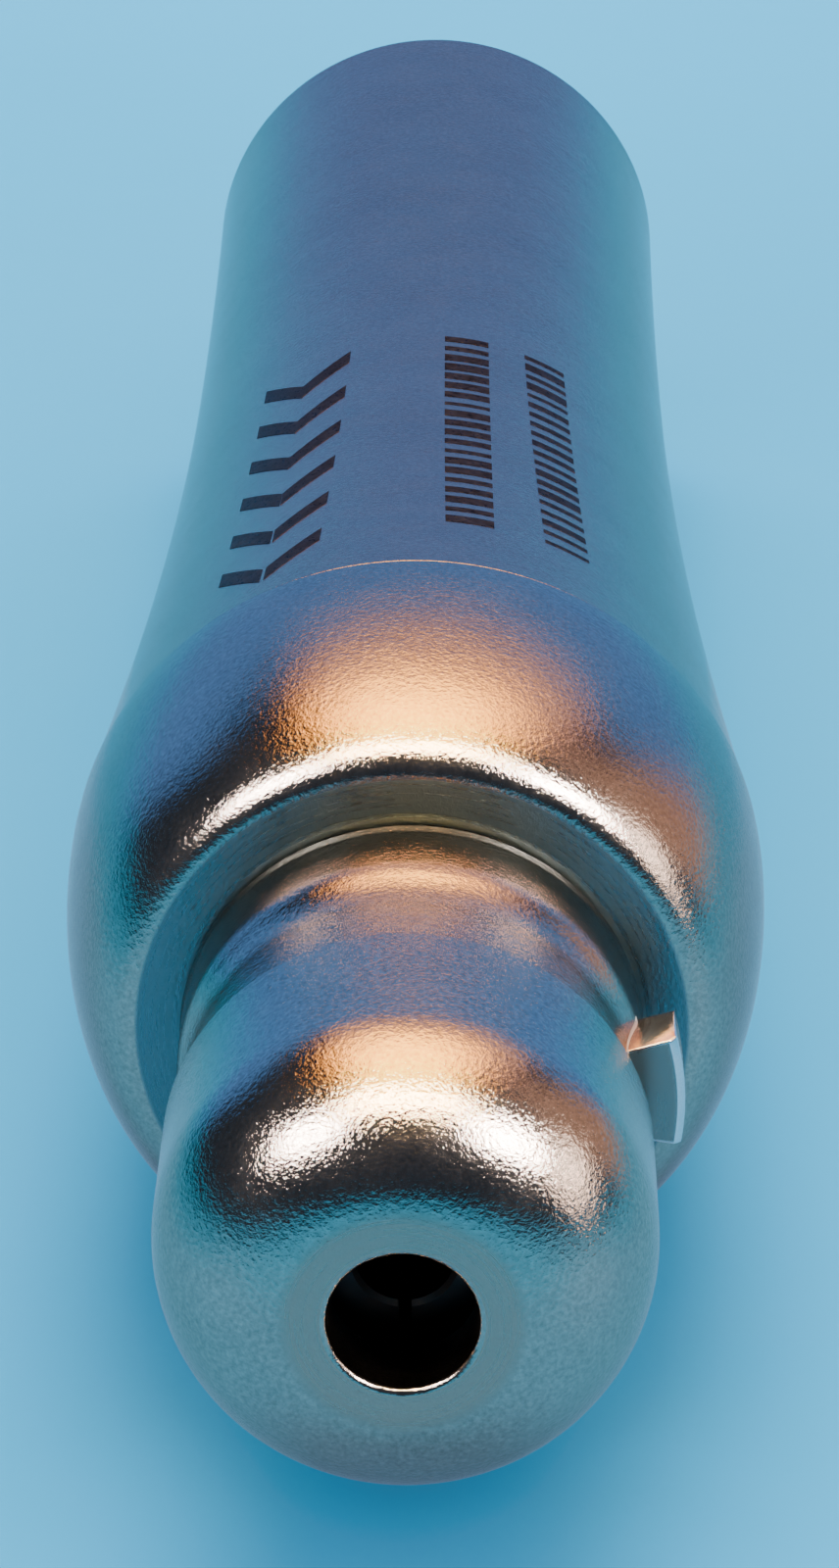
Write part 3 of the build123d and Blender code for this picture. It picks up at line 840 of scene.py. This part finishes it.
ball_ring = build_ball_ring()
for bearing, body, count in (("input_bearing", "input_balls", 8), ("rear_spindle_bearing", "rear_balls", 12),
                             ("front_spindle_bearing", "front_balls", 12)):
    node = bearing + "_balls"
    rear, front = stations(node)
    ball_r = (front - rear) / 2
    balls = bake_tree(bearing + "_ball_ring", ball_ring, Count=count, Ball_Radius=ball_r * MM,
                      Ring_Radius=(widest(node) - ball_r) * MM, Station=(rear + front) / 2 * MM,
                      Finish=finishes["ground_steel"])
    face_outwards(balls.data)
    put_on(balls, body, "ground_steel", node)
    print(f"{bearing}: {count} balls of {2 * ball_r:.2f} mm")

# %% [markdown]
# ## The collet spring
# The spring closes the chuck. When the collar twists, the chuck moves forward and the coil shortens. Here the
# piece rides on the spindle's body and has a mesh of its own.

# %% Coil the spring
WIRE_R = 0.22
SPRING_TURNS = 5.5
STEPS_PER_TURN = 40
POINTS_ROUND_WIRE = 12
spring_rear, spring_front = stations("collet_spring")
spring_r = widest("collet_spring") - WIRE_R
coil_start, coil_end = spring_rear + WIRE_R, spring_front - WIRE_R


def wire_ring(share):
    """Points round the wire, share of the way along the coil."""
    a = math.tau * SPRING_TURNS * share
    radial = Vector((math.cos(a), 0, math.sin(a)))
    centre = radial * spring_r + Vector((0, -(coil_start + (coil_end - coil_start) * share), 0))
    round_wire = [math.tau * m / POINTS_ROUND_WIRE for m in range(POINTS_ROUND_WIRE)]
    return [(centre + (radial * math.cos(b) + Vector((0, math.sin(b), 0))) * WIRE_R) * MM for b in round_wire]


spring_steps = int(SPRING_TURNS * STEPS_PER_TURN)
coil = skinned("collet_spring_coil", [wire_ring(k / spring_steps) for k in range(spring_steps + 1)])
spring = new_object("collet_spring_coil", coil)
spring.data.materials.append(finishes["spring_steel"])
sharpen(spring, 50)
put_on(spring, "spindle", "spring_steel", "collet_spring")
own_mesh(spring)

# %% [markdown]
# ## Floor
# The tool lies on a plain pale sheet, on the belly of its collar and on its rear rim, so the sheet is tilted
# to touch both.

# %% Lay the floor
FLOOR_HALF = 3.0  # metres
FLOOR_GAP = 0.02 * MM
floor_slope = (COLLAR_R - REAR_R) / BELLY


def floor_material():
    material, tree, shader = start_material("pale_sheet", 0.0)
    point = object_point(tree)
    tint = stretch(tree, noise(tree, point, 60, detail=2), 0, 1)
    dress(tree, shader, tinted(tree, tint, (0.002, 0.172, 0.35), (0.003, 0.180, 0.365)),
          stretch(tree, noise(tree, point, 8), 0.7, 0.8))
    shader.inputs["Specular IOR Level"].default_value = 0.1
    return material


def floor_height(y):
    """Height of the sheet under a point at y, in metres."""
    return -REAR_R * MM + y * floor_slope - FLOOR_GAP


corners = [(x * FLOOR_HALF, y * FLOOR_HALF, floor_height(y * FLOOR_HALF))
           for x, y in ((-1, -1), (1, -1), (1, 1), (-1, 1))]
floor_mesh = bpy.data.meshes.new("floor")
floor_mesh.from_pydata(corners, [], [(0, 1, 2, 3)])
floor_mesh.materials.append(floor_material())
new_object("floor", floor_mesh)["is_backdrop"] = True
print(f"the floor falls {floor_slope * 100:.1f} mm in 100 mm towards the nose")

# %% [markdown]
# ## Light
# Metal shows nothing but what is around it, so its light is a ring of soft panels. A wide white one above
# puts the bright band on the collar and the dome, warm ones behind give the golden glow on the bulb, a dim
# blue one low behind makes the sleeve slate blue, and a faint one under the tool warms its rims. A diffuse
# sheet shows the sum of all its light instead. It has lights of its own that the metal does not mirror, and
# the strong panels are hidden from it.

# %% Helpers for panels
LIT_POINT = Vector((0, -70 * MM, 0))
PANEL_FACTOR = 4.0  # watts per square metre of panel that give a radiance of one


def soft_panel(name, width, depth, radiance, colour, placed, only=None):
    """Rectangle of light, in metres. only is "metal" or "sheet" where it should not light the other."""
    light = bpy.data.lights.new(name, "AREA")
    light.shape = "RECTANGLE"
    light.size, light.size_y = width, depth
    light.energy = PANEL_FACTOR * radiance * width * depth
    light.color = colour
    lamp = new_object(name, light)
    lamp.matrix_world = placed
    lamp.visible_camera = False
    lamp.visible_diffuse = only != "metal"
    lamp.visible_glossy = only != "sheet"
    print(f"{name}: {width * 1000:.0f} x {depth * 1000:.0f} mm, {light.energy:.2f} W")


def facing_nose(over, aside, distance):
    """Place of a panel that faces the nose end.

    over is the angle from the horizon behind the tool up over its top, and aside the angle to the right, in
    degrees. distance is in metres.
    """
    a, b = math.radians(over), math.radians(aside)
    towards = Vector((math.sin(b), math.cos(b) * math.cos(a), math.cos(b) * math.sin(a)))
    sideways = Vector((math.cos(b), -math.sin(b) * math.cos(a), -math.sin(b) * math.sin(a)))
    upwards = towards.cross(sideways)
    turn_to = Matrix((sideways, upwards, towards)).transposed().to_4x4()
    return Matrix.Translation(LIT_POINT + towards * distance) @ turn_to


# %% Set the panels round the nose
PANELS = (  # name, over, aside, distance, width and depth in degrees, radiance, colour, what it lights
    ("white_top", 105, 0, 0.40, (46, 5), 150, (1.0, 0.80, 0.46), "metal"),
    ("white_left", 120, -38, 0.40, (20, 11), 90, (1.0, 0.95, 0.92), "metal"),
    ("white_right", 120, 40, 0.40, (22, 12), 120, (1.0, 0.95, 0.92), "metal"),
    ("white_far_right", 112, 70, 0.40, (14, 30), 8, (1.0, 0.85, 0.75), None),
    ("pale_back", 88, 0, 0.40, (34, 14), 9, (1.0, 0.80, 0.12), "metal"),
    ("golden_back", 70, 0, 0.40, (50, 34), 7, (1.0, 0.42, 0.03), None),
    ("golden_core", 69, 0, 0.40, (30, 24), 5, (1.0, 0.58, 0.04), "metal"),
    ("brown_back", 57, 6, 0.40, (58, 42), 1.45, (1.0, 0.56, 0.42), None),
    ("slate_back", 16, -3, 0.40, (92, 36), 1.2, (0.08, 0.35, 1.0), None),
    ("brown_right", 30, 58, 0.40, (26, 70), 0.75, (1.0, 0.6, 0.4), None),
    ("fill_front", 126, 0, 0.45, (70, 40), 4.4, (0.9, 1.0, 1.0), "sheet"),
    ("front_wash", 155, 0, 0.15, (60, 24), 10, (1.0, 0.97, 0.93), "sheet"),
)
for name, over, aside, distance, spread, radiance, colour, only in PANELS:
    width, depth = (2 * distance * math.tan(math.radians(side) / 2) for side in spread)
    soft_panel(name, width, depth, radiance, colour, facing_nose(over, aside, distance), only)

# %% [markdown]
# The last lights belong to the sheet: one lights it far behind the tool, and a low soft sun behind gives the
# nose its shadow in front. Between them a faint warm panel lies on the sheet, under the collar and the nose,
# for the metal alone.

# %% Light the sheet
FAR_WASH_PLACE = (0, 0.20, 0.16)
soft_panel("far_wash", 0.5, 0.2, 7.0, (0.8, 1.0, 1.0), Matrix.Translation(FAR_WASH_PLACE), "sheet")

BOUNCE_Y = -0.062
BOUNCE_LIFT = 0.22 * MM
face_up = Matrix.Rotation(math.pi + math.atan(floor_slope), 4, "X")
on_sheet = Matrix.Translation((0, BOUNCE_Y, floor_height(BOUNCE_Y) + BOUNCE_LIFT)) @ face_up
soft_panel("warm_bounce", 0.100, 0.085, 0.125, (1.0, 0.48, 0.40), on_sheet, "metal")

sun = bpy.data.lights.new("key_sun", "SUN")
sun.energy = 6.2
sun.angle = math.radians(32)
sun.color = (0.9, 0.97, 1.0)
sun_lamp = new_object("key_sun", sun)
sun_lamp.rotation_euler = (math.radians(-28), 0, 0)
sun_lamp.visible_glossy = False

world = bpy.data.worlds.new("studio")
bpy.context.scene.world = world
world.use_nodes = True
surround = world.node_tree.nodes["Background"]
surround.inputs["Color"].default_value = (0.05, 0.08, 0.13, 1)
surround.inputs["Strength"].default_value = 1.0
print(f"{len(PANELS) + 3} lights and a dim blue surround")

# %% [markdown]
# ## Check the size
# The finished pieces must fill the same box as the CAD model, so the script prints how far the visual box
# differs from the CAD box.

# %% Print how the boxes differ
seen_low, seen_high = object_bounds()
grown = (seen_high - seen_low) - (cad_high - cad_low)
print("visual box less CAD box:", [round(side / MM, 3) for side in grown], "mm")
